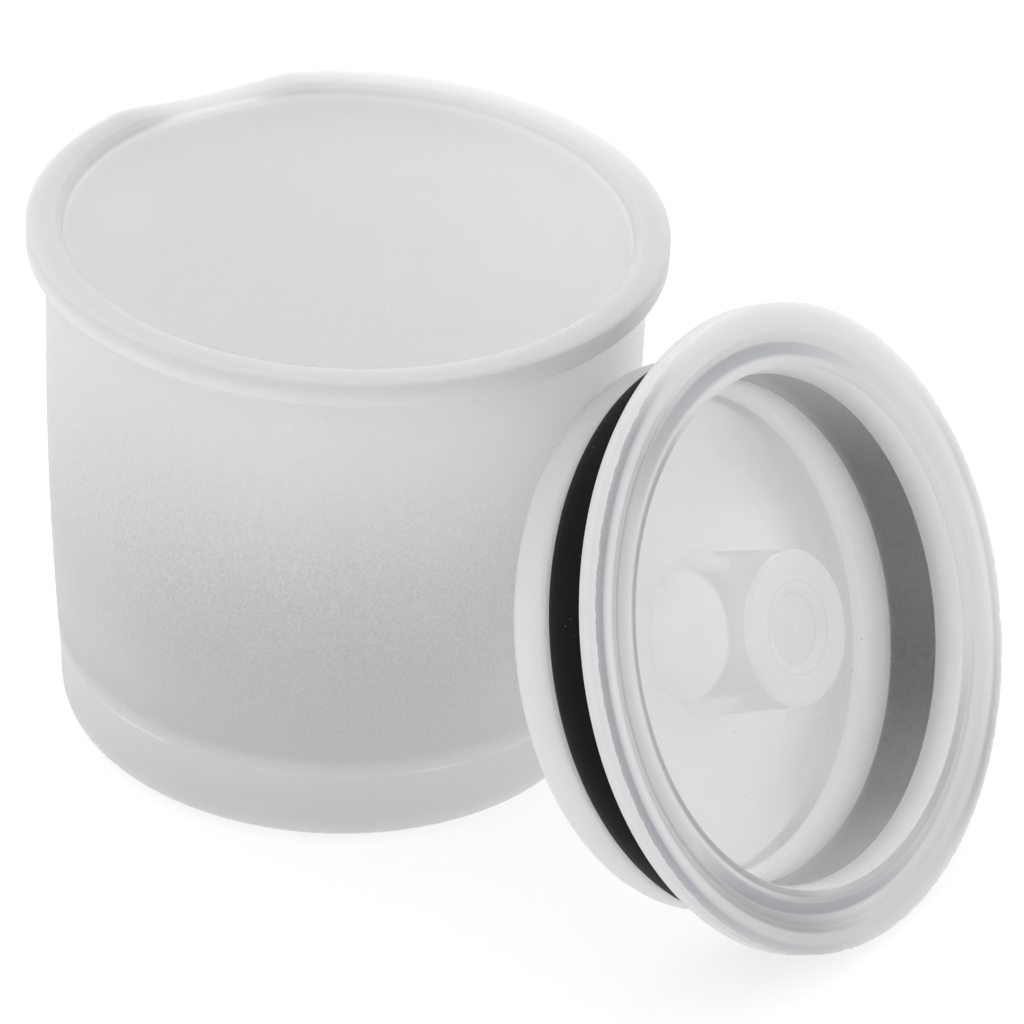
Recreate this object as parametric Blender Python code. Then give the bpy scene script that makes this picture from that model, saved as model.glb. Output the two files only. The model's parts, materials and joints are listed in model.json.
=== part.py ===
"""Frosted cup with a plug lid leaning against it, as the set stands on a table.

Metres, +Z up. The origin is on the cup's axis, on the table. Three pieces: the cup, the lid
and the rubber seal ring that sits in the lid's groove. Each piece is turned about its own +Z.
"""

import math

import bmesh
import bpy

MM = 0.001
SIDES = 72  # facets round each turned piece

# Cup
CUP_HEIGHT = 73.8 * MM
COLLAR_RADIUS = 42.0 * MM
COLLAR_DEPTH = 3.6 * MM
COLLAR_EDGE = 0.5 * MM
COLLAR_TOP_INNER = 38.3 * MM  # the flat top of the collar ends here and rolls into the mouth
MOUTH_ROLL = 2.0 * MM
BODY_RADIUS_TOP = 39.3 * MM
BODY_RADIUS_MIDDLE = 38.95 * MM
BODY_RADIUS_BASE = 36.85 * MM
BASE_CORNER = 4.6 * MM
CUP_WALL = 2.3 * MM
CUP_FLOOR = 2.2 * MM
INNER_CORNER = 2.5 * MM

# Pouring dip in the top of the collar
DIP_DEPTH = 1.7 * MM
DIP_CENTRE = math.radians(122.0)
DIP_HALF_WIDTH = math.radians(19.0)
DIP_SHAPE = 1.4

# Lid. Heights are below the front face of its flange, which is the lid's local z = 0.
FLANGE_RADIUS = 41.7 * MM
FLANGE_THICKNESS = 3.1 * MM
FLANGE_BEVEL = 0.3 * MM
FLANGE_BEVEL_INNER = 39.9 * MM
FACE_INNER = 38.2 * MM
CHANNEL_RADIUS = 37.0 * MM
CHANNEL_DEPTH = 1.2 * MM
LIP_RADIUS = 34.2 * MM
LIP_DEPTH = 0.4 * MM
DISH_RADIUS_TOP = 33.4 * MM
DISH_RADIUS = 32.8 * MM
DISH_DEPTH = 17.3 * MM
DISH_CORNER = 1.2 * MM
BOSS_RADIUS_TOP = 10.1 * MM
BOSS_RADIUS_BASE = 10.7 * MM
BOSS_TOP_DEPTH = 1.8 * MM
BOSS_EDGE = 0.3 * MM
BOSS_HOLLOW_RADIUS = 8.2 * MM
BOSS_CAP = 2.2 * MM
DIMPLE_RADIUS = 6.1 * MM
DIMPLE_FLOOR_RADIUS = 4.4 * MM
DIMPLE_DEPTH = 0.6 * MM
PLUG_RADIUS = 36.4 * MM  # above the groove
PLUG_RADIUS_BELOW = 36.2 * MM
PLUG_RADIUS_END = 35.7 * MM
PLUG_DEPTH = 20.0 * MM
PLUG_CORNER = 2.2 * MM
GROOVE_TOP = 4.7 * MM
GROOVE_BOTTOM = 13.2 * MM
GROOVE_RADIUS = 34.2 * MM

# Seal ring: flat inside, crowned outside
RING_GAP = 0.3 * MM
RING_CROWN_RADIUS = 37.3 * MM
RING_SHOULDER = 1.0 * MM

# The lid stands on the corner of its plug and leans back on the cup
LID_TILT = math.radians(25.5)  # how far its face looks up from level
LID_TURN = math.radians(-33.9)  # which way its face looks, about +Z
LID_X = 61.8 * MM
LID_Y = -39.8 * MM
LID_Z = (
    (PLUG_RADIUS_END - PLUG_CORNER) * math.cos(LID_TILT)
    + (PLUG_DEPTH - PLUG_CORNER) * math.sin(LID_TILT)
    + PLUG_CORNER
)


def clear_scene():
    for obj in list(bpy.data.objects):
        bpy.data.objects.remove(obj, do_unlink=True)


def material(name, colour, roughness):
    made = bpy.data.materials.new(name)
    made.use_nodes = True
    shader = made.node_tree.nodes["Principled BSDF"]
    shader.inputs["Base Color"].default_value = (*colour, 1.0)
    shader.inputs["Roughness"].default_value = roughness
    shader.inputs["Metallic"].default_value = 0.0
    return made


def arc(centre_r, centre_z, radius, start, end, steps):
    """Points of a quarter or part turn in the (r, z) plane, angles in degrees."""
    points = []
    for i in range(steps + 1):
        angle = math.radians(start + (end - start) * i / steps)
        points.append(
            (centre_r + radius * math.cos(angle), centre_z + radius * math.sin(angle))
        )
    return points


def turned(name, profile, mat, looped=False, reshape=None):
    """Turns (r, z) points about Z. The profile runs up the outer side of the piece."""
    mesh = bmesh.new()
    rows = []
    for r, z in profile:
        if r == 0.0:
            rows.append([mesh.verts.new((0.0, 0.0, z))] * SIDES)
            continue
        row = []
        for i in range(SIDES):
            angle = 2 * math.pi * i / SIDES
            height = reshape(angle, z) if reshape else z
            row.append(
                mesh.verts.new((r * math.cos(angle), r * math.sin(angle), height))
            )
        rows.append(row)
    pairs = list(zip(rows, rows[1:] + rows[:1] if looped else rows[1:]))
    for low, high in pairs:
        for i in range(SIDES):
            j = (i + 1) % SIDES
            corners = (low[i], low[j], high[j], high[i])
            mesh.faces.new(list(dict.fromkeys(corners)))
    data = bpy.data.meshes.new(name)
    mesh.to_mesh(data)
    mesh.free()
    obj = bpy.data.objects.new(name, data)
    obj.data.materials.append(mat)
    bpy.context.scene.collection.objects.link(obj)
    data.shade_smooth()
    data.set_sharp_from_angle(angle=math.radians(30))
    return obj


def body_radius(z):
    """Outside of the cup's wall: a curve through its radii at the base, middle and top."""
    low, high = BASE_CORNER, CUP_HEIGHT - COLLAR_DEPTH
    t = (z - low) / (high - low)
    return (
        BODY_RADIUS_BASE * (1 - t) * (1 - 2 * t)
        + BODY_RADIUS_MIDDLE * 4 * t * (1 - t)
        + BODY_RADIUS_TOP * t * (2 * t - 1)
    )


def collar_dip(angle, z):
    """Lowers the top of the collar at the pouring dip, and leaves its underside level."""
    offset = (angle - DIP_CENTRE) / DIP_HALF_WIDTH
    still = CUP_HEIGHT - COLLAR_DEPTH + COLLAR_EDGE
    if abs(offset) >= 1.0 or z <= still:
        return z
    dip = DIP_DEPTH * (1.0 - offset * offset) ** DIP_SHAPE
    return z - dip * (z - still) / (CUP_HEIGHT - still)


def cup_profile():
    collar_low = CUP_HEIGHT - COLLAR_DEPTH
    heights = [BASE_CORNER + (collar_low - BASE_CORNER) * i / 5 for i in range(6)]
    mouth_radius = BODY_RADIUS_TOP - CUP_WALL
    roll_width = COLLAR_TOP_INNER - mouth_radius
    inner_low = CUP_FLOOR + INNER_CORNER
    inner_radius = body_radius(inner_low) - CUP_WALL

    points = [(0.0, 0.0)]
    points += arc(BODY_RADIUS_BASE - BASE_CORNER, BASE_CORNER, BASE_CORNER, -90, 0, 3)
    points += [(body_radius(z), z) for z in heights[1:]]
    points += [
        (COLLAR_RADIUS - COLLAR_EDGE, collar_low),
        (COLLAR_RADIUS, collar_low + COLLAR_EDGE),
        (COLLAR_RADIUS, CUP_HEIGHT - COLLAR_EDGE),
        (COLLAR_RADIUS - COLLAR_EDGE, CUP_HEIGHT),
        (COLLAR_TOP_INNER, CUP_HEIGHT),
        (mouth_radius + 0.3 * roll_width, CUP_HEIGHT - 0.3 * MOUTH_ROLL),
        (mouth_radius, CUP_HEIGHT - MOUTH_ROLL),
    ]
    points += [(body_radius(z) - CUP_WALL, z) for z in reversed(heights[1:-1])]
    points += arc(inner_radius - INNER_CORNER, inner_low, INNER_CORNER, 0, -90, 3)
    points += [(0.0, CUP_FLOOR)]
    return points


def lid_profile():
    hollow_end = -(BOSS_TOP_DEPTH + BOSS_CAP)
    points = [(0.0, hollow_end), (BOSS_HOLLOW_RADIUS, hollow_end)]
    points += [(BOSS_HOLLOW_RADIUS, -PLUG_DEPTH)]
    points += arc(
        PLUG_RADIUS_END - PLUG_CORNER, -PLUG_DEPTH + PLUG_CORNER, PLUG_CORNER, -90, 0, 3
    )
    points += [
        (PLUG_RADIUS_BELOW, -GROOVE_BOTTOM),
        (GROOVE_RADIUS, -GROOVE_BOTTOM),
        (GROOVE_RADIUS, -GROOVE_TOP),
        (PLUG_RADIUS, -GROOVE_TOP),
        (PLUG_RADIUS, -FLANGE_THICKNESS),
        (FLANGE_RADIUS - FLANGE_BEVEL, -FLANGE_THICKNESS),
        (FLANGE_RADIUS, -FLANGE_THICKNESS + FLANGE_BEVEL),
        (FLANGE_RADIUS, -2 * FLANGE_BEVEL),
        (FLANGE_RADIUS - FLANGE_BEVEL, -FLANGE_BEVEL),
        (FLANGE_BEVEL_INNER, 0.0),
        (FACE_INNER, 0.0),
        (CHANNEL_RADIUS, -CHANNEL_DEPTH),
        (LIP_RADIUS, -LIP_DEPTH),
        (DISH_RADIUS_TOP, -2 * LIP_DEPTH),
        (DISH_RADIUS, -GROOVE_TOP),
    ]
    points += arc(
        DISH_RADIUS - DISH_CORNER, -DISH_DEPTH + DISH_CORNER, DISH_CORNER, 0, -90, 2
    )
    points += [
        (BOSS_RADIUS_BASE, -DISH_DEPTH),
        (BOSS_RADIUS_TOP, -BOSS_TOP_DEPTH - BOSS_EDGE),
        (BOSS_RADIUS_TOP - BOSS_EDGE, -BOSS_TOP_DEPTH),
        (DIMPLE_RADIUS, -BOSS_TOP_DEPTH),
        (DIMPLE_FLOOR_RADIUS, -BOSS_TOP_DEPTH - DIMPLE_DEPTH),
        (0.0, -BOSS_TOP_DEPTH - DIMPLE_DEPTH),
    ]
    return points


def ring_profile():
    inner = GROOVE_RADIUS + RING_GAP
    low, high = -GROOVE_BOTTOM + RING_GAP, -GROOVE_TOP - RING_GAP
    middle, half = (low + high) / 2, (high - low) / 2
    crown = RING_CROWN_RADIUS - inner - RING_SHOULDER
    points = [(inner, low)]
    for i in range(9):
        angle = math.radians(-90 + 180 * i / 8)
        points.append(
            (inner + RING_SHOULDER + crown * math.cos(angle), middle + half * math.sin(angle))
        )
    points.append((inner, high))
    return points


def stand_lid(obj):
    obj.rotation_euler = (0.0, math.pi / 2 - LID_TILT, LID_TURN)
    obj.location = (LID_X, LID_Y, LID_Z)


def main():
    clear_scene()
    cup_plastic = material("cup_plastic", (0.78, 0.79, 0.80), 0.5)
    lid_plastic = material("lid_plastic", (0.80, 0.81, 0.82), 0.35)
    seal_rubber = material("seal_rubber", (0.012, 0.012, 0.013), 0.55)

    turned("cup", cup_profile(), cup_plastic, reshape=collar_dip)
    lid = turned("plug_lid", lid_profile(), lid_plastic)
    stand_lid(lid)
    ring = turned("seal_ring", ring_profile(), seal_rubber, looped=True)
    stand_lid(ring)


main()
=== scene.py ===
"""Looks of the frosted cup and its plug lid: finely turned bodies, moulded-plastic and rubber
materials, a pale table top, soft studio light and the camera. All lengths are in metres."""

import json
import math

import bmesh
import bpy
from mathutils import Matrix, Vector, noise


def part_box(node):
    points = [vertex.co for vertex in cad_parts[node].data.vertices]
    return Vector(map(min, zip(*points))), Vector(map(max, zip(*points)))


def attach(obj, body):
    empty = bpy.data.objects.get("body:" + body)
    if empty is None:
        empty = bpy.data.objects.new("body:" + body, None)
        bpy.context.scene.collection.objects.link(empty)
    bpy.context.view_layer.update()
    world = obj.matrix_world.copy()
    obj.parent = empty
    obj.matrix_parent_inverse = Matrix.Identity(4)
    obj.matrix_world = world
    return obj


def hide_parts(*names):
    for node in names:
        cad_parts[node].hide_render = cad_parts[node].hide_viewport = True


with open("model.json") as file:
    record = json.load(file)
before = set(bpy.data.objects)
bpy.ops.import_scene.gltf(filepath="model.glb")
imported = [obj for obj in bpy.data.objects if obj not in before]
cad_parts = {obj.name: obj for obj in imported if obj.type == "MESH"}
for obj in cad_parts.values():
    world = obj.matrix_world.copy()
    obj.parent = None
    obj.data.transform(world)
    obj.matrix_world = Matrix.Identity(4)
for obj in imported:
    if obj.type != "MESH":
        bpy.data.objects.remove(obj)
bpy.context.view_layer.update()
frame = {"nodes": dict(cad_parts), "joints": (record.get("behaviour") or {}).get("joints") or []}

MM = 0.001
AROUND = 384  # facets round each turned piece
ARC_STEPS = 5  # steps to a radian of a rounded corner
WALL_STEPS = 16  # steps up the cup's wall
CROWN_STEPS = 32  # steps over the crown of the seal ring
ON_AXIS = 0.001 * MM  # a point nearer to the axis than this lies on it

# Cup. Its height and the radius of its collar are the frame's.
CUP_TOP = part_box("cup")[1]
CUP_HEIGHT = CUP_TOP.z
COLLAR_RADIUS = CUP_TOP.x
COLLAR_DEPTH = 3.6 * MM
COLLAR_LOW = CUP_HEIGHT - COLLAR_DEPTH
COLLAR_TOP_INNER = 38.3 * MM
MOUTH_ROLL = 2.0 * MM
BODY_RADIUS_TOP = 39.3 * MM
BODY_RADIUS_MIDDLE = 38.95 * MM
BODY_RADIUS_BASE = 36.85 * MM
BASE_CORNER = 4.6 * MM
CUP_WALL = 2.3 * MM
CUP_FLOOR = 2.2 * MM
INNER_CORNER = 2.5 * MM

# Pouring dip in the collar
DIP_DEPTH = 1.7 * MM
DIP_CENTRE = math.radians(122.0)
DIP_HALF_WIDTH = math.radians(19.0)
DIP_SHAPE = 1.4
DIP_LOWEST = COLLAR_LOW + 0.5 * MM  # the collar keeps its shape below this height

# Lid. Depths are below the front face of its flange.
FLANGE_RADIUS = 41.7 * MM
FLANGE_THICKNESS = 3.1 * MM
FACE_OUTER = 39.9 * MM
FACE_INNER = 38.2 * MM
CHANNEL_RADIUS = 37.0 * MM
CHANNEL_DEPTH = 1.2 * MM
LIP_RADIUS = 34.2 * MM
LIP_DEPTH = 0.4 * MM
DISH_RADIUS_TOP = 33.4 * MM
DISH_RADIUS = 32.8 * MM
DISH_DEPTH = 17.3 * MM
BOSS_RADIUS_TOP = 10.1 * MM
BOSS_RADIUS_BASE = 10.7 * MM
BOSS_TOP_DEPTH = 1.8 * MM
BOSS_HOLLOW_RADIUS = 8.2 * MM
BOSS_CAP = 2.2 * MM
DIMPLE_RADIUS = 6.1 * MM
DIMPLE_FLOOR_RADIUS = 4.4 * MM
DIMPLE_DEPTH = 0.6 * MM
PLUG_RADIUS = 36.4 * MM
PLUG_RADIUS_BELOW = 36.2 * MM
PLUG_RADIUS_END = 35.7 * MM
PLUG_DEPTH = 20.0 * MM
PLUG_CORNER = 2.2 * MM
PLUG_TAPER = 0.16 * MM  # the side goes in by this much more along its corner
GROOVE_TOP = 4.7 * MM
GROOVE_BOTTOM = 13.2 * MM
GROOVE_RADIUS = 34.2 * MM

# Trimmed flash on the flange's front edge, and the chips in it
FLASH_DEPTH = 0.15 * MM  # middle of the ragged strip
FLASH_HALF_WIDTH = 0.25 * MM
FLASH_REACH = 0.6 * MM  # how far in from the edge it is ragged
FLASH_SCALE = 60
FLASH_CUT = 0.20 * MM
FLASH_LIFT = 0.1 * MM
CHIP_SCALE = 22
CHIP_CUT = 0.9 * MM
CHIP_START = 0.25  # level of the noise where a chip begins

# Seal ring
RING_GAP = 0.3 * MM
RING_CROWN_RADIUS = 37.3 * MM
RING_SHOULDER = 1.0 * MM

# Plastic. Each clear share of light goes straight through one face of it.
SCATTER = 8.0 * MM  # how far light wanders in the plastic
CUP_CLEAR = 0.10
LID_CLEAR = 0.12
DISH_CLEAR = 0.50
DISH_SIDE_CLEAR = 0.22  # on the right of the dish floor
BOSS_CLEAR = 0.46
DIMPLE_CLEAR = 0.53
HOLLOW_CLEAR = 0.57
# Painted light: the plastic is made lighter inside the cup than outside.
CUP_INSIDE = 0.99  # how light the plastic is inside the cup
CUP_LIGHTEST = 0.985  # and at most on its outside

# Heights where the looks of the cup change
GRAIN_START = 11.8 * MM  # the spark-eroded grain begins here
GRAIN_FULL = GRAIN_START + 3.0 * MM
# Painted light on the near flanks is strongest at LOW_WALL; painted shade low on the wall lifts
# above DARK_END.
LOW_WALL = 22.0 * MM  # the near flank is lightest here
DARK_END = 27.0 * MM  # the wall gets lighter above this
WAIST = 40.0 * MM
SHOULDER = 62.0 * MM

# Looks of the lid
DIM_START = 20.0 * MM  # the dish floor gets dimmer outside this radius
BAND_DEPTH = 12.0 * MM  # the ring is seen through the dish wall down to here
# The grey on the flange's rim is painted shade.
RAGGED = 0.6 * MM  # how far the edge of the grey rim wanders

# Light tent: strengths, the way to its open front, and how squarely that is faced
TENT_WALL = 1.10
TENT_TOP = 1.08
TENT_OPENING = 0.12
TENT_FRONT = (0.30, -0.95, 0.0)
OPENING_EDGE = 0.5
OPENING_MIDDLE = 0.95

# Table
TABLE_RADIUS = 8.0
TABLE_DROP = 0.05 * MM  # keeps the cup's base clear of the table
TABLE_GREY = 0.355
TABLE_GLOW = 0.62
TABLE_SEEN_GLOW = 0.12  # more glow, for the camera only

# Camera, with its lens and sensor in millimetres
LENS = 210.9
SENSOR = 36.0
CAMERA_PLACE = (0.02318, -0.68348, 0.45475)
CAMERA_PITCH = math.radians(31.84)
CAMERA_ROLL = math.radians(2.99)
FARTHEST_SEEN = 50.0


# ---------- shapes ----------

def lid_matrix():
    """Where the lid's own axes lie: +Z out of its front face, +X down along the face."""
    axis = Vector(frame["joints"][0]["axis"]).normalized()
    points = [v.co for v in frame["nodes"]["plug_lid"].data.vertices]
    middle = sum(points, Vector()) / len(points)
    front = max(p.dot(axis) for p in points)
    down = (Vector((0, 0, -1)) + axis * axis.z).normalized()
    centre = middle + axis * (front - middle.dot(axis))
    turn = Matrix((down, axis.cross(down), axis)).transposed()
    return Matrix.Translation(centre) @ turn.to_4x4()


def softened(outline):
    """An outline of (r, z, radius) points with an arc of that radius at each corner."""
    points = []
    for i, (r, z, radius) in enumerate(outline):
        here = Vector((r, z))
        if radius == 0 or i in (0, len(outline) - 1):
            points.append(here)
            continue
        before = (Vector(outline[i - 1][:2]) - here).normalized()
        after = (Vector(outline[i + 1][:2]) - here).normalized()
        half = before.angle(after) / 2
        centre = here + (before + after).normalized() * (radius / math.sin(half))
        start = here + before * (radius / math.tan(half)) - centre
        sweep = start.angle_signed(here + after * (radius / math.tan(half)) - centre)
        steps = max(2, round(abs(sweep) * ARC_STEPS))
        for k in range(steps + 1):
            points.append(centre + Matrix.Rotation(-sweep * k / steps, 2) @ start)
    return points


def filled(points, longest):
    """The same outline with extra points, so that no step is longer than this."""
    made = [points[0]]
    for a, b in zip(points, points[1:]):
        pieces = max(1, math.ceil((b - a).length / longest))
        made += [a.lerp(b, k / pieces) for k in range(1, pieces + 1)]
    return made


def turned(name, points, looped=False, reshape=None, at=None):
    """Turns (r, z) points about Z, then moves the mesh to its place in the set. The points run
    from the bottom up the outer side. Materials read the place before that from "place"."""
    mesh = bmesh.new()
    rows = []
    for r, z in points:
        if r < ON_AXIS:
            rows.append([mesh.verts.new((0.0, 0.0, z))] * AROUND)
            continue
        row = []
        for i in range(AROUND):
            angle = 2 * math.pi * i / AROUND
            new_r, new_z = reshape(angle, r, z) if reshape else (r, z)
            row.append(mesh.verts.new((new_r * math.cos(angle), new_r * math.sin(angle), new_z)))
        rows.append(row)
    for low, high in zip(rows, rows[1:] + (rows[:1] if looped else [])):
        for i in range(AROUND):
            j = (i + 1) % AROUND
            mesh.faces.new(list(dict.fromkeys((low[i], low[j], high[j], high[i]))))
    data = bpy.data.meshes.new(name)
    mesh.to_mesh(data)
    mesh.free()
    data.shade_smooth()
    before = data.attributes.new("place", "FLOAT_VECTOR", "POINT")
    for vertex, stored in zip(data.vertices, before.data):
        stored.vector = vertex.co
    if at is not None:
        data.transform(at)
    piece = bpy.data.objects.new(name, data)
    bpy.context.scene.collection.objects.link(piece)
    return piece


def body_radius(z):
    """Outside of the cup's wall: a curve through its radii at the base, middle and top."""
    t = (z - BASE_CORNER) / (COLLAR_LOW - BASE_CORNER)
    return (
        BODY_RADIUS_BASE * (1 - t) * (1 - 2 * t)
        + BODY_RADIUS_MIDDLE * 4 * t * (1 - t)
        + BODY_RADIUS_TOP * t * (2 * t - 1)
    )


def collar_dip(angle, r, z):
    """Lowers the top of the collar at the pouring dip."""
    offset = (angle - DIP_CENTRE) / DIP_HALF_WIDTH
    if abs(offset) >= 1.0 or z <= DIP_LOWEST:
        return r, z
    dip = DIP_DEPTH * (1.0 - offset * offset) ** DIP_SHAPE
    return r, z - dip * (z - DIP_LOWEST) / (CUP_HEIGHT - DIP_LOWEST)


def cup_outline():
    mouth_radius = BODY_RADIUS_TOP - CUP_WALL
    roll = COLLAR_TOP_INNER - mouth_radius
    step = (COLLAR_LOW - BASE_CORNER) / WALL_STEPS
    wall = [BASE_CORNER + step * i for i in range(1, WALL_STEPS)]
    base_arc = BASE_CORNER * 0.98  # a little tighter, since the wall leans out
    outline = [(0.0, 0.0, 0), (BODY_RADIUS_BASE, 0.0, base_arc)]
    outline += [(body_radius(z), z, 0) for z in wall]
    outline += [
        (body_radius(COLLAR_LOW), COLLAR_LOW, 0.35 * MM),
        (COLLAR_RADIUS, COLLAR_LOW, 0.45 * MM),
        (COLLAR_RADIUS, CUP_HEIGHT, 0.45 * MM),
        (COLLAR_TOP_INNER, CUP_HEIGHT, 0.8 * MM),
        (mouth_radius + 0.3 * roll, CUP_HEIGHT - 0.35 * MOUTH_ROLL, 0.5 * MM),
        (mouth_radius, CUP_HEIGHT - MOUTH_ROLL, 1.5 * MM),
    ]
    outline += [(body_radius(z) - CUP_WALL, z, 0) for z in reversed(wall)]
    outline += [
        (body_radius(CUP_FLOOR) - CUP_WALL, CUP_FLOOR, INNER_CORNER),
        (0.0, CUP_FLOOR, 0),
    ]
    return filled(softened(outline), 4 * MM)


def lid_outline():
    hollow_end = -(BOSS_TOP_DEPTH + BOSS_CAP)
    outline = [
        (0.0, hollow_end, 0),
        (BOSS_HOLLOW_RADIUS, hollow_end, 0.5 * MM),
        (BOSS_HOLLOW_RADIUS, -PLUG_DEPTH, 0.3 * MM),
        (PLUG_RADIUS_END - PLUG_TAPER, -PLUG_DEPTH, PLUG_CORNER),
        (PLUG_RADIUS_BELOW, -GROOVE_BOTTOM, 0.3 * MM),
        (GROOVE_RADIUS, -GROOVE_BOTTOM, 0.3 * MM),
        (GROOVE_RADIUS, -GROOVE_TOP, 0.3 * MM),
        (PLUG_RADIUS, -GROOVE_TOP, 0.3 * MM),
        (PLUG_RADIUS, -FLANGE_THICKNESS, 0.25 * MM),
        (FLANGE_RADIUS, -FLANGE_THICKNESS, 0.25 * MM),
        (FLANGE_RADIUS, -0.2 * MM, 0.05 * MM),
        (FLANGE_RADIUS - 0.25 * MM, -0.1 * MM, 0.05 * MM),
        (FACE_OUTER, 0.0, 0.6 * MM),
        (FACE_INNER, 0.0, 0.5 * MM),
        (CHANNEL_RADIUS, -CHANNEL_DEPTH, 0.25 * MM),
        (LIP_RADIUS, -LIP_DEPTH, 0.5 * MM),
        (DISH_RADIUS_TOP, -2 * LIP_DEPTH, 0.3 * MM),
        (DISH_RADIUS, -GROOVE_TOP, 1.0 * MM),
        (DISH_RADIUS - 0.1 * MM, -DISH_DEPTH, 1.2 * MM),
        (BOSS_RADIUS_BASE, -DISH_DEPTH, 0.5 * MM),
        (BOSS_RADIUS_TOP, -BOSS_TOP_DEPTH, 0.3 * MM),
        (DIMPLE_RADIUS, -BOSS_TOP_DEPTH, 0.3 * MM),
        (DIMPLE_FLOOR_RADIUS, -BOSS_TOP_DEPTH - DIMPLE_DEPTH, 0.5 * MM),
        (0.0, -BOSS_TOP_DEPTH - DIMPLE_DEPTH, 0),
    ]
    return filled(softened(outline), 3 * MM)


def ring_outline():
    inner = GROOVE_RADIUS + RING_GAP
    low, high = -GROOVE_BOTTOM + RING_GAP, -GROOVE_TOP - RING_GAP
    middle, half = (low + high) / 2, (high - low) / 2
    crown = RING_CROWN_RADIUS - inner - RING_SHOULDER
    points = [Vector((inner, low))]
    for i in range(CROWN_STEPS + 1):
        angle = math.pi * (i / CROWN_STEPS - 0.5)
        points.append(Vector((
            inner + RING_SHOULDER + crown * math.cos(angle),
            middle + half * math.sin(angle),
        )))
    points.append(Vector((inner, high)))
    return points


def flash_edge(angle, r, z):
    """The flange's front edge is ragged with trimmed flash."""
    near = max(0.0, 1 - abs(z + FLASH_DEPTH) / FLASH_HALF_WIDTH)
    if near == 0.0 or r <= FLANGE_RADIUS - FLASH_REACH:
        return r, z
    way = Vector((math.cos(angle), math.sin(angle), 0.0))
    fine = noise.noise(way * FLASH_SCALE)
    chips = max(0.0, noise.noise(way * CHIP_SCALE + Vector((5, 0, 0))) - CHIP_START)
    cut = FLASH_CUT * min(fine, 0.0) - CHIP_CUT * chips
    return r + near * cut, z + near * FLASH_LIFT * fine


# ---------- materials ----------

def add_node(tree, kind, inputs, settings):
    """A new node with these settings. Its inputs are values or other nodes' outputs."""
    node = tree.nodes.new(kind)
    for key, value in settings.items():
        setattr(node, key, value)
    for key, value in inputs.items():
        if isinstance(value, bpy.types.NodeSocket):
            tree.links.new(value, node.inputs[key])
        else:
            node.inputs[key].default_value = value
    return node


class Shader:
    """A material's node tree, with short ways to add and join nodes."""

    place = x = y = height = radius = None  # set by locate

    def __init__(self, name):
        self.material = bpy.data.materials.new(name)
        self.material.use_nodes = True
        self.tree = self.material.node_tree
        self.tree.nodes.clear()
        self.output = self.tree.nodes.new("ShaderNodeOutputMaterial")

    def add(self, kind, inputs=None, **settings):
        return add_node(self.tree, kind, inputs or {}, settings)

    def math(self, operation, a, b=0.0, c=0.0):
        return self.add("ShaderNodeMath", {0: a, 1: b, 2: c}, operation=operation).outputs[0]

    def product(self, value, *others):
        for other in others:
            value = self.math("MULTIPLY", value, other)
        return value

    def total(self, value, *others):
        for other in others:
            value = self.math("ADD", value, other)
        return value

    def largest(self, value, *others):
        for other in others:
            value = self.math("MAXIMUM", value, other)
        return value

    def noise(self, scale, detail=2.0, roughness=0.5, vector=None):
        node = self.add("ShaderNodeTexNoise", {
            "Vector": vector or self.place, "Scale": scale, "Detail": detail,
            "Roughness": roughness,
        })
        return node.outputs["Fac"]

    def ramp(self, value, *stops):
        """Maps value through (value in, value out) stops, smoothly between them."""
        result = None
        for (x0, y0), (x1, y1) in zip(stops, stops[1:]):
            step = self.add("ShaderNodeMapRange", {
                "Value": value, "From Min": x0, "From Max": x1, "To Min": y0, "To Max": y1,
            }, interpolation_type="SMOOTHSTEP").outputs[0]
            if result is None:
                result = step
            else:
                result = self.math("ADD", result, self.math("SUBTRACT", step, y0))
        return result

    def grey(self, value, tint=(1.0, 1.0, 1.0)):
        channels = [self.math("MULTIPLY", value, t) for t in tint]
        return self.add("ShaderNodeCombineColor", dict(enumerate(channels))).outputs[0]

    def blue_grey(self, value, share):
        """A grey that leans to blue by this share."""
        channels = []
        for tint, lean in ((0.997, -0.10), (0.998, -0.05), (1.0, 0.08)):
            tinted = self.math("MULTIPLY_ADD", share, lean, tint)
            channels.append(self.math("MULTIPLY", value, tinted))
        return self.add("ShaderNodeCombineColor", dict(enumerate(channels))).outputs[0]

    def bump(self, height, distance, strength):
        inputs = {"Height": height, "Distance": distance, "Strength": strength}
        return self.add("ShaderNodeBump", inputs).outputs[0]

    def locate(self):
        """Finds the place on the piece before it was moved into the set: x, y and height, and
        the distance from the piece's own Z axis, in metres."""
        self.place = self.add("ShaderNodeAttribute", attribute_name="place").outputs["Vector"]
        self.x, self.y, self.height = self.add("ShaderNodeSeparateXYZ", {0: self.place}).outputs
        square = self.math("MULTIPLY_ADD", self.y, self.y, self.math("MULTIPLY", self.x, self.x))
        self.radius = self.math("SQRT", square)

    def bearing(self):
        """Which way round the piece: from -1 to 1 along its own Y, and along its own X."""
        return self.math("DIVIDE", self.y, self.radius), self.math("DIVIDE", self.x, self.radius)

    def blend(self, a, b, share):
        """a where share is 0, b where it is 1."""
        return self.math("MULTIPLY_ADD", share, self.math("SUBTRACT", b, a), a)

    def finish(self, surface):
        self.tree.links.new(surface, self.output.inputs["Surface"])
        return self.material


def milky(shader, colour, roughness, normal, clear):
    """Moulded polypropylene: light wanders inside the wall and leaves by either side, and the
    clear share of it goes straight through."""
    body = shader.add("ShaderNodeBsdfPrincipled", {
        "Base Color": colour, "Roughness": roughness, "Normal": normal,
        "IOR": 1.49, "Specular IOR Level": 0.3,
        "Subsurface Weight": 1.0, "Subsurface Radius": (1.0, 1.0, 1.0),
        "Subsurface Scale": SCATTER,
    })
    through = shader.add("ShaderNodeBsdfTransparent", {"Color": (1.0, 1.0, 1.0, 1.0)})
    mix = shader.add("ShaderNodeMixShader", {0: clear, 1: body.outputs[0], 2: through.outputs[0]})
    return shader.finish(mix.outputs[0])


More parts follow.
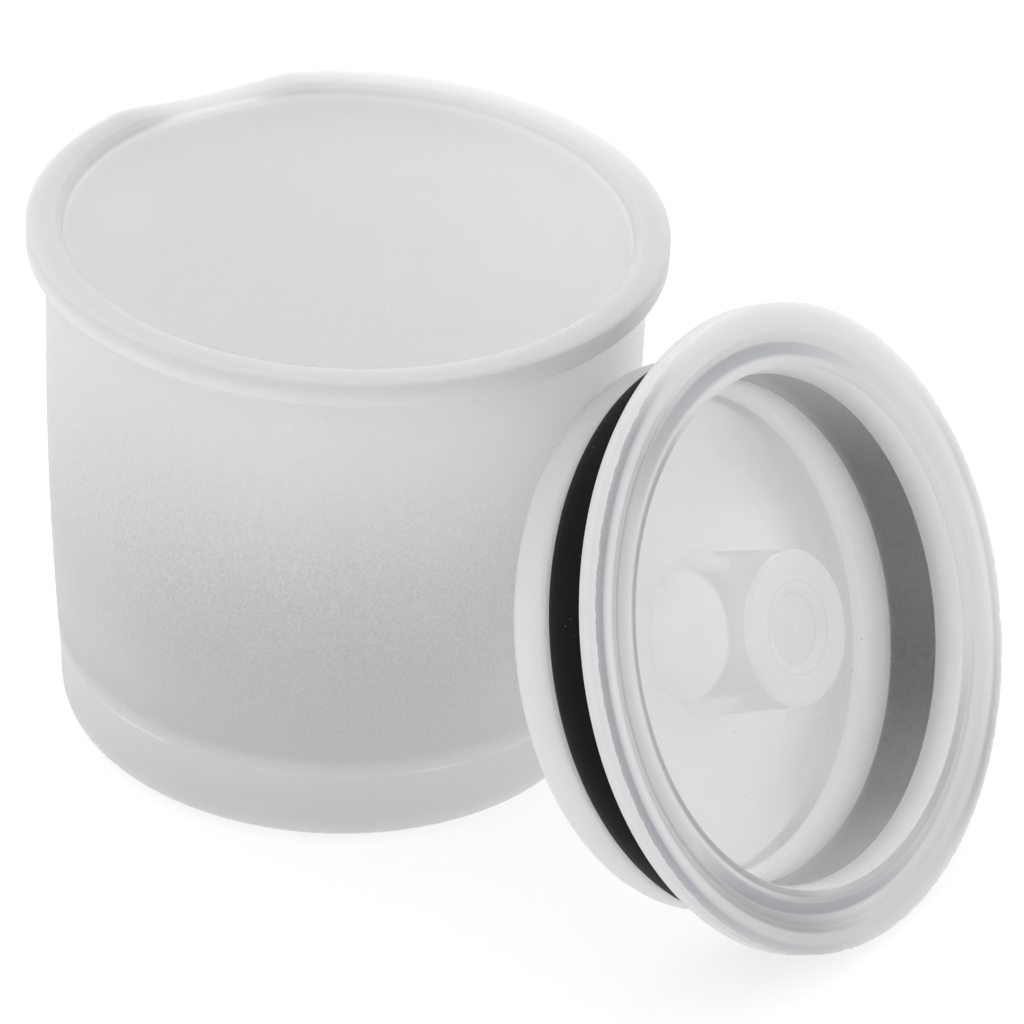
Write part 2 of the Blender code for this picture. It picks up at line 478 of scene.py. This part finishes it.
def cup_inside(s):
    """1 on the inside of the cup's wall and floor, 0 on its outside and round its mouth."""
    wall = s.ramp(s.height, (BASE_CORNER, BODY_RADIUS_BASE), (CUP_HEIGHT, BODY_RADIUS_TOP))
    depth = s.math("SUBTRACT", wall, s.radius)
    return s.product(
        s.ramp(depth, (0.35 * CUP_WALL, 0.0), (0.65 * CUP_WALL, 1.0)),
        s.ramp(s.height, (0.4 * CUP_FLOOR, 0.0), (0.6 * CUP_FLOOR, 1.0)),
        s.ramp(s.height, (CUP_HEIGHT - MOUTH_ROLL, 1.0), (CUP_HEIGHT - MOUTH_ROLL / 2, 0.0)),
    )


def cup_outside(s, cloud):
    """How light the outside of the cup is, by height and by side: past its foot, painted shade and
    painted light.
    """
    foot = s.ramp(s.height, (BASE_CORNER, 0.65), (GRAIN_START, 0.68), (GRAIN_FULL, 0.0))
    # Painted shade: the wall is darker low down, lighter up to the collar, and the collar's top is
    # darker again.
    wall = s.ramp(
        s.height, (GRAIN_START, 0.0), (GRAIN_FULL, 0.57), (DARK_END, 0.57),
        (COLLAR_LOW - 0.2 * MM, 0.80), (COLLAR_LOW, 0.78), (COLLAR_LOW + 0.5 * MM, 0.77),
        (CUP_HEIGHT, 0.60),
    )
    # Painted shade at the front of the lower wall: the flanks and back are made lighter than its
    # front middle.
    flank_painted_light = s.product(
        s.ramp(s.math("DIVIDE", s.y, s.radius), (-0.98, 0.0), (-0.62, 0.055)),
        s.ramp(s.height, (GRAIN_START, 0.2), (LOW_WALL, 1.0), (SHOULDER + 4 * MM, 0.0)),
    )
    # A thin painted highlight runs just below the grain, and is broken in places.
    low, middle = GRAIN_START - 0.7 * MM, GRAIN_START - 0.3 * MM
    line = s.product(
        s.ramp(s.height, (low, 0.0), (middle, 0.10), (GRAIN_START, 0.0)),
        s.ramp(cloud, (0.45, 0.0), (0.62, 1.0)),
    )
    # Painted light on the side toward the lid, where the lid shades the upper wall, and painted
    # shade on the other side.
    side = s.product(
        s.ramp(s.x, (-30 * MM, -0.07), (0.0, -0.01), (32 * MM, 0.19)),
        s.ramp(s.height, (WAIST, 0.5), (SHOULDER, 1.0)),
        s.ramp(s.height, (COLLAR_LOW - 0.2 * MM, 1.0), (COLLAR_LOW + 0.5 * MM, 0.0)),
    )
    # Painted light on the rear of the collar, more to the right; a little painted shade to the left.
    rear_collar_painted_light = s.product(
        s.ramp(s.y, (0.0, 0.0), (36 * MM, 1.0)),
        s.ramp(s.x, (-26 * MM, -0.04), (4 * MM, 0.13)),
        s.ramp(s.height, (COLLAR_LOW, 0.0), (COLLAR_LOW + 0.5 * MM, 1.0)),
    )
    value = s.total(foot, wall, flank_painted_light, line, side, rear_collar_painted_light)
    return s.math("MINIMUM", value, CUP_LIGHTEST)


def cup_plastic():
    s = Shader("cup_plastic")
    s.locate()
    cloud = s.noise(60.0, 3.0, 0.6)
    grain = s.noise(2600.0, 2.0, 0.6)
    inside = cup_inside(s)
    # Painted light: the inside of the cup is lighter than its outside.
    value = s.blend(cup_outside(s, cloud), CUP_INSIDE, inside)
    value = s.total(value, s.math("MULTIPLY_ADD", cloud, 0.02, -0.01))
    # The grain is on the wall below the collar, and faint inside the cup.
    grainy = s.product(
        s.ramp(s.height, (GRAIN_START - 0.4 * MM, 0.0), (GRAIN_START + 0.4 * MM, 1.0)),
        s.ramp(s.height, (COLLAR_LOW - 0.2 * MM, 1.0), (COLLAR_LOW, 0.0)),
        s.blend(1.0, 0.25, inside),
    )
    strong = s.ramp(s.height, (GRAIN_START, 0.10), (WAIST + 2 * MM, 0.26), (SHOULDER, 0.08))
    value = s.total(value, s.product(s.math("SUBTRACT", grain, 0.5), grainy, strong))
    normal = s.bump(grain, 0.12 * MM, s.math("MULTIPLY_ADD", grainy, 0.75, 0.05))
    roughness = s.math("MULTIPLY_ADD", grainy, 0.2, 0.38)
    return milky(s, s.grey(value, (0.993, 0.996, 1.0)), roughness, normal, CUP_CLEAR)


def ring_behind_wall(s):
    """1 where the dish wall has the seal ring behind it."""
    return s.product(
        s.ramp(s.radius, (DISH_RADIUS - 0.9 * MM, 0.0), (DISH_RADIUS - 0.6 * MM, 1.0),
               (DISH_RADIUS + 0.4 * MM, 1.0), (DISH_RADIUS_TOP, 0.0)),
        s.ramp(s.height, (-BAND_DEPTH - 0.1 * MM, 0.0), (-BAND_DEPTH + 0.1 * MM, 1.0),
               (-GROOVE_TOP, 1.0), (-GROOVE_TOP + 0.2 * MM, 0.0)),
    )


def ring_through_wall(s, right, down):
    """The black ring shows through the dish wall, and fades where the wall is seen end on."""
    speckle = s.noise(1400.0, 2.0, 0.6)
    by_side = s.total(
        s.ramp(right, (0.0, 0.68), (0.5, 0.29), (0.95, 0.13)),
        s.ramp(down, (-0.8, 0.34), (-0.2, 0.0), (0.2, 0.0), (0.6, -0.09), (0.97, 0.0)),
    )
    return s.math("MULTIPLY_ADD", speckle, 0.10, by_side)


def flange_painted_shade(s, right, down, on_face):
    """Painted shade: the edges and slopes of the flange are darkened, each on its own stretch of
    it, for the grey that refraction and shade give clear plastic. Gives how much darker than the
    face they are, and how far they lean to blue."""
    # The painted grey shade reaches a ragged line on the flange's outer edge.
    ragged = s.math("MULTIPLY_ADD", s.noise(1000.0, 4.0, 0.7), RAGGED,
                    s.math("SUBTRACT", s.height, RAGGED / 2))
    painted = s.ramp(ragged, (-0.40 * MM, 0.0), (-0.25 * MM, 1.0))
    left = s.ramp(right, (-0.95, 1.0), (-0.55, 0.9), (-0.1, 0.0))
    rim = s.product(
        s.ramp(s.radius, (FACE_OUTER - 0.4 * MM, 0.0), (FACE_OUTER + 0.3 * MM, 0.35),
               (FACE_OUTER + 0.9 * MM, 1.0)),
        painted, left, s.ramp(down, (0.2, 1.0), (0.9, 0.4)), 0.42,
    )
    channel = s.product(
        s.ramp(s.radius, (LIP_RADIUS + 0.4 * MM, 0.10), (CHANNEL_RADIUS - 0.7 * MM, 0.45),
               (CHANNEL_RADIUS, 1.0), (FACE_INNER + 0.5 * MM, 1.0), (FACE_INNER + 1.0 * MM, 0.2)),
        on_face, left, 0.30,
    )
    slope = s.product(
        s.ramp(s.radius, (LIP_RADIUS + 0.3 * MM, 0.0), (LIP_RADIUS + 1.1 * MM, 1.0),
               (LIP_RADIUS + 2.2 * MM, 1.0), (CHANNEL_RADIUS, 0.0)),
        on_face,
        s.total(
            s.ramp(down, (-1.0, 0.26), (-0.6, 0.05)),
            s.product(s.ramp(down, (0.3, 0.0), (0.7, 0.30)), s.ramp(right, (-0.3, 1.0), (0.3, 0.4))),
        ),
    )
    lip = s.product(
        s.ramp(s.radius, (DISH_RADIUS_TOP, 0.0), (LIP_RADIUS - 0.4 * MM, 1.0),
               (LIP_RADIUS + 0.6 * MM, 1.0), (LIP_RADIUS + 1.4 * MM, 0.0)),
        on_face,
        s.total(s.ramp(down, (0.4, 0.0), (0.95, 0.30)), s.ramp(right, (0.2, 0.0), (0.8, 0.12))),
    )
    brink = s.product(
        s.ramp(s.radius, (DISH_RADIUS_TOP - 0.2 * MM, 0.0), (DISH_RADIUS_TOP + 0.2 * MM, 1.0),
               (LIP_RADIUS + 0.1 * MM, 1.0), (LIP_RADIUS + 0.6 * MM, 0.0)),
        on_face, left, 0.48,
    )
    hem = s.product(
        s.ramp(s.radius, (FACE_OUTER - 0.9 * MM, 0.0), (FACE_OUTER, 1.0)),
        painted,
        s.ramp(right, (0.2, 0.0), (0.7, 0.22)),
        s.ramp(down, (-0.7, 0.0), (-0.1, 1.0)),
    )
    bottom = s.product(
        s.ramp(s.radius, (CHANNEL_RADIUS - 0.2 * MM, 0.0), (CHANNEL_RADIUS + 1.0 * MM, 1.0)),
        on_face,
        s.ramp(down, (0.3, 0.0), (0.9, 0.16)),
    )
    shade = s.total(s.largest(rim, channel, slope, lip, brink, hem), bottom)
    return shade, s.math("MAXIMUM", rim, slope)


def dish_marks(s, down, in_dish):
    """The edges of the boss and its dimple show as fine lines, and a little dust has settled."""
    hollow_end = -(BOSS_TOP_DEPTH + BOSS_CAP)
    on_boss = s.ramp(s.height, (hollow_end, 0.0), (hollow_end + 1.0 * MM, 1.0))
    marks = s.product(
        s.ramp(s.noise(1900.0, 1.0), (0.76, 0.0), (0.80, 0.6)),
        s.ramp(s.height, (-DISH_DEPTH + 0.7 * MM, 1.0), (-DISH_DEPTH + 1.3 * MM, 0.0)),
        in_dish,
        s.ramp(down, (-0.2, 0.0), (0.2, 1.0)),
    )
    boss_edge = BOSS_RADIUS_TOP - 0.4 * MM
    for edge, depth in ((boss_edge, 0.07), (DIMPLE_RADIUS, 0.12), (DIMPLE_FLOOR_RADIUS, 0.06)):
        line = s.ramp(s.radius, (edge - 0.25 * MM, 0.0), (edge, depth), (edge + 0.2 * MM, 0.0))
        marks = s.largest(marks, s.product(line, on_boss))
    return marks


def lid_clear(s, right, down, inner, behind_ring):
    """The share of light that goes straight through each part of the lid."""
    dim = s.product(
        s.ramp(s.radius, (DIM_START, 0.0), (DISH_RADIUS - 1.3 * MM, 1.0)),
        s.ramp(right, (0.0, 0.0), (0.6, 1.0)),
        s.ramp(down, (-0.9, 0.0), (-0.4, 1.0)),
    )
    clear = s.blend(s.blend(DISH_CLEAR, DISH_SIDE_CLEAR, dim), DISH_CLEAR, behind_ring)
    clear = s.blend(LID_CLEAR, clear, inner)

    dimple = -BOSS_TOP_DEPTH - DIMPLE_DEPTH
    boss = s.ramp(s.radius, (BOSS_RADIUS_BASE + 0.2 * MM, 1.0), (BOSS_RADIUS_BASE + 0.7 * MM, 0.0))
    boss_clear = s.ramp(s.height, (dimple - 0.2 * MM, DIMPLE_CLEAR), (dimple + 0.2 * MM, BOSS_CLEAR))
    clear = s.blend(clear, boss_clear, boss)

    hollow_end = -(BOSS_TOP_DEPTH + BOSS_CAP)
    hollow = s.product(
        s.ramp(s.radius, (BOSS_HOLLOW_RADIUS + 0.1 * MM, 1.0), (BOSS_HOLLOW_RADIUS + 0.5 * MM, 0.0)),
        s.ramp(s.height, (hollow_end + 0.1 * MM, 1.0), (hollow_end + 0.7 * MM, 0.0)),
    )
    clear = s.blend(clear, HOLLOW_CLEAR, hollow)

    wall = s.product(
        s.ramp(s.radius, (DISH_RADIUS - 1.6 * MM, 0.0), (DISH_RADIUS - 1.0 * MM, 1.0)),
        inner,
        s.math("SUBTRACT", 1.0, behind_ring),
    )
    return s.blend(clear, LID_CLEAR, wall)


def lid_plastic():
    s = Shader("lid_plastic")
    s.locate()
    right, down = s.bearing()
    inner = s.ramp(s.radius, (DISH_RADIUS_TOP - 0.1 * MM, 1.0), (DISH_RADIUS_TOP + 0.5 * MM, 0.0))
    in_dish = s.product(
        inner, s.ramp(s.height, (-DISH_DEPTH - 1.3 * MM, 0.0), (-DISH_DEPTH - 0.7 * MM, 1.0)))
    on_face = s.ramp(s.height, (-CHANNEL_DEPTH - 0.8 * MM, 0.0), (-CHANNEL_DEPTH - 0.1 * MM, 1.0))
    behind_ring = ring_behind_wall(s)

    # Painted shade: the lid's top side, its front face and the plug's side below the flange are a
    # little darker.
    outside = s.total(
        s.math("MULTIPLY_ADD", on_face, -0.02, s.ramp(down, (-0.9, 0.79), (-0.3, 0.83))),
        s.ramp(s.height, (-GROOVE_TOP + 0.2 * MM, -0.06), (-FLANGE_THICKNESS - 0.1 * MM, 0.0)),
    )
    # Painted light in the dish, with painted shade towards its left.
    value = s.blend(outside, s.ramp(right, (-0.9, 0.94), (0.2, 0.995)), in_dish)
    value = s.total(value, s.math("MULTIPLY_ADD", s.noise(45.0, 3.0, 0.6), 0.02, -0.01))
    value = s.blend(value, ring_through_wall(s, right, down), behind_ring)
    # Painted shade on the flange's edges, leaning to blue.
    shade, blueness = flange_painted_shade(s, right, down, on_face)
    value = s.math("SUBTRACT", value, s.largest(shade, dish_marks(s, down, in_dish)))
    normal = s.bump(s.noise(220.0, 2.0), 0.05 * MM, 0.3)
    clear = lid_clear(s, right, down, inner, behind_ring)
    return milky(s, s.blue_grey(value, blueness), 0.32, normal, clear)


def seal_rubber():
    """Black rubber with fine moulding streaks round it, and pale specks on its crown."""
    s = Shader("seal_rubber")
    s.locate()
    streaked = s.add("ShaderNodeMapping", {0: s.place, 3: (40.0, 40.0, 2600.0)}).outputs[0]
    streaks = s.noise(1.0, 3.0, 0.7, vector=streaked)
    turned_place = s.add("ShaderNodeMapping", {0: s.place, 2: (0.5, 0.9, 0.3)}).outputs[0]
    specks = s.product(
        s.ramp(s.noise(2100.0, 2.0, vector=turned_place), (0.70, 0.0), (0.76, 0.22)),
        s.ramp(s.radius, (RING_CROWN_RADIUS - 1.7 * MM, 0.0), (RING_CROWN_RADIUS - 1.1 * MM, 1.0)),
        s.ramp(s.height, (-GROOVE_TOP - 1.7 * MM, 1.0), (-GROOVE_TOP - 1.1 * MM, 0.0)),
        s.ramp(s.noise(130.0, 1.0), (0.50, 0.0), (0.60, 1.0)),
    )
    value = s.total(s.math("MULTIPLY_ADD", streaks, 0.006, 0.001), specks)
    surface = s.add("ShaderNodeBsdfPrincipled", {
        "Base Color": s.grey(value), "Roughness": s.math("MULTIPLY_ADD", streaks, 0.25, 0.4),
        "Normal": s.bump(streaks, 0.03 * MM, 0.5), "Specular IOR Level": 0.10,
    })
    return s.finish(surface.outputs[0])


def table_top():
    """A white sweep: it looks overexposed, as in a packshot, and throws back little light."""
    s = Shader("table_top")
    seen = s.add("ShaderNodeLightPath").outputs["Is Camera Ray"]
    surface = s.add("ShaderNodeBsdfPrincipled", {
        "Base Color": (TABLE_GREY, TABLE_GREY, TABLE_GREY, 1.0),
        "Roughness": 0.8, "Specular IOR Level": 0.0,
        "Emission Color": (1.0, 1.0, 1.0, 1.0),
        "Emission Strength": s.math("MULTIPLY_ADD", seen, TABLE_SEEN_GLOW, TABLE_GLOW),
    })
    return s.finish(surface.outputs[0])


# ---------- light, table and camera ----------

def area_light(name, place, aim, size, power):
    data = bpy.data.lights.new(name, "AREA")
    data.shape = "RECTANGLE"
    data.size, data.size_y = size
    data.energy = power
    lamp = bpy.data.objects.new(name, data)
    lamp.location = place
    lamp.rotation_euler = (Vector(aim) - Vector(place)).to_track_quat("-Z", "Y").to_euler()
    bpy.context.scene.collection.objects.link(lamp)


def tent():
    """A white light tent: even all round and overhead, dim on its open front side, and plain
    white or more where the camera sees it."""
    world = bpy.data.worlds.new("tent")
    world.use_nodes = True
    tree = world.node_tree

    def add(kind, inputs, **settings):
        return add_node(tree, kind, inputs, settings).outputs

    way = add("ShaderNodeTexCoord", {})["Generated"]
    height = add("ShaderNodeSeparateXYZ", {0: way})[2]
    overhead = add("ShaderNodeMapRange", {
        "Value": height, "From Min": 0.0, "From Max": 1.0, "To Min": TENT_WALL, "To Max": TENT_TOP,
    })[0]
    front = add("ShaderNodeVectorMath", {0: way, 1: TENT_FRONT}, operation="DOT_PRODUCT")["Value"]
    opening = add("ShaderNodeMapRange", {
        "Value": front, "From Min": OPENING_EDGE, "From Max": OPENING_MIDDLE,
        "To Min": 1.0, "To Max": TENT_OPENING,
    }, interpolation_type="SMOOTHSTEP")[0]
    light = add("ShaderNodeMath", {0: overhead, 1: opening}, operation="MULTIPLY")[0]
    seen = add("ShaderNodeLightPath", {})["Is Camera Ray"]
    strength = add("ShaderNodeMath", {0: light, 1: seen}, operation="MAXIMUM")[0]
    background = tree.nodes["Background"]
    background.inputs["Color"].default_value = (1.0, 1.0, 1.0, 1.0)
    tree.links.new(strength, background.inputs["Strength"])
    return world


def studio():
    floor_mesh = bmesh.new()
    bmesh.ops.create_circle(floor_mesh, cap_ends=True, radius=TABLE_RADIUS, segments=96)
    data = bpy.data.meshes.new("table")
    floor_mesh.to_mesh(data)
    floor_mesh.free()
    table = bpy.data.objects.new("table", data)
    table.location.z = -TABLE_DROP
    table.data.materials.append(table_top())
    bpy.context.scene.collection.objects.link(table)

    bpy.context.scene.world = tent()
    area_light("back_box", place=(-0.2, 0.9, 0.6), aim=(0.02, 0.0, 0.03), size=(0.9, 0.7), power=1.0)
    bpy.context.scene.view_settings.view_transform = "Standard"


def camera():
    data = bpy.data.cameras.new("camera")
    data.sensor_width = SENSOR
    data.lens = LENS
    data.clip_end = FARTHEST_SEEN
    view = bpy.data.objects.new("camera", data)
    ahead = Vector((0.0, math.cos(CAMERA_PITCH), -math.sin(CAMERA_PITCH)))
    level = Vector((1.0, 0.0, 0.0))
    upright = level.cross(ahead)
    right = level * math.cos(CAMERA_ROLL) + upright * math.sin(CAMERA_ROLL)
    top = upright * math.cos(CAMERA_ROLL) - level * math.sin(CAMERA_ROLL)
    turn = Matrix((right, top, -ahead)).transposed().to_4x4()
    view.matrix_world = Matrix.Translation(CAMERA_PLACE) @ turn
    bpy.context.scene.collection.objects.link(view)
    bpy.context.scene.camera = view


def main():
    at_lid = lid_matrix()
    cup = turned("cup_body", cup_outline(), reshape=collar_dip)
    cup.data.materials.append(cup_plastic())
    lid = turned("lid_body", lid_outline(), reshape=flash_edge, at=at_lid)
    lid.data.materials.append(lid_plastic())
    ring = turned("seal_band", ring_outline(), looped=True, at=at_lid)
    ring.data.materials.append(seal_rubber())

    for piece, body, node, slot in (
        (cup, "cup", "cup", "cup_plastic"),
        (lid, "lid", "plug_lid", "lid_plastic"),
        (ring, "lid", "seal_ring", "seal_rubber"),
    ):
        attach(piece, body)
        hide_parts(node)
    studio()
    camera()


main()
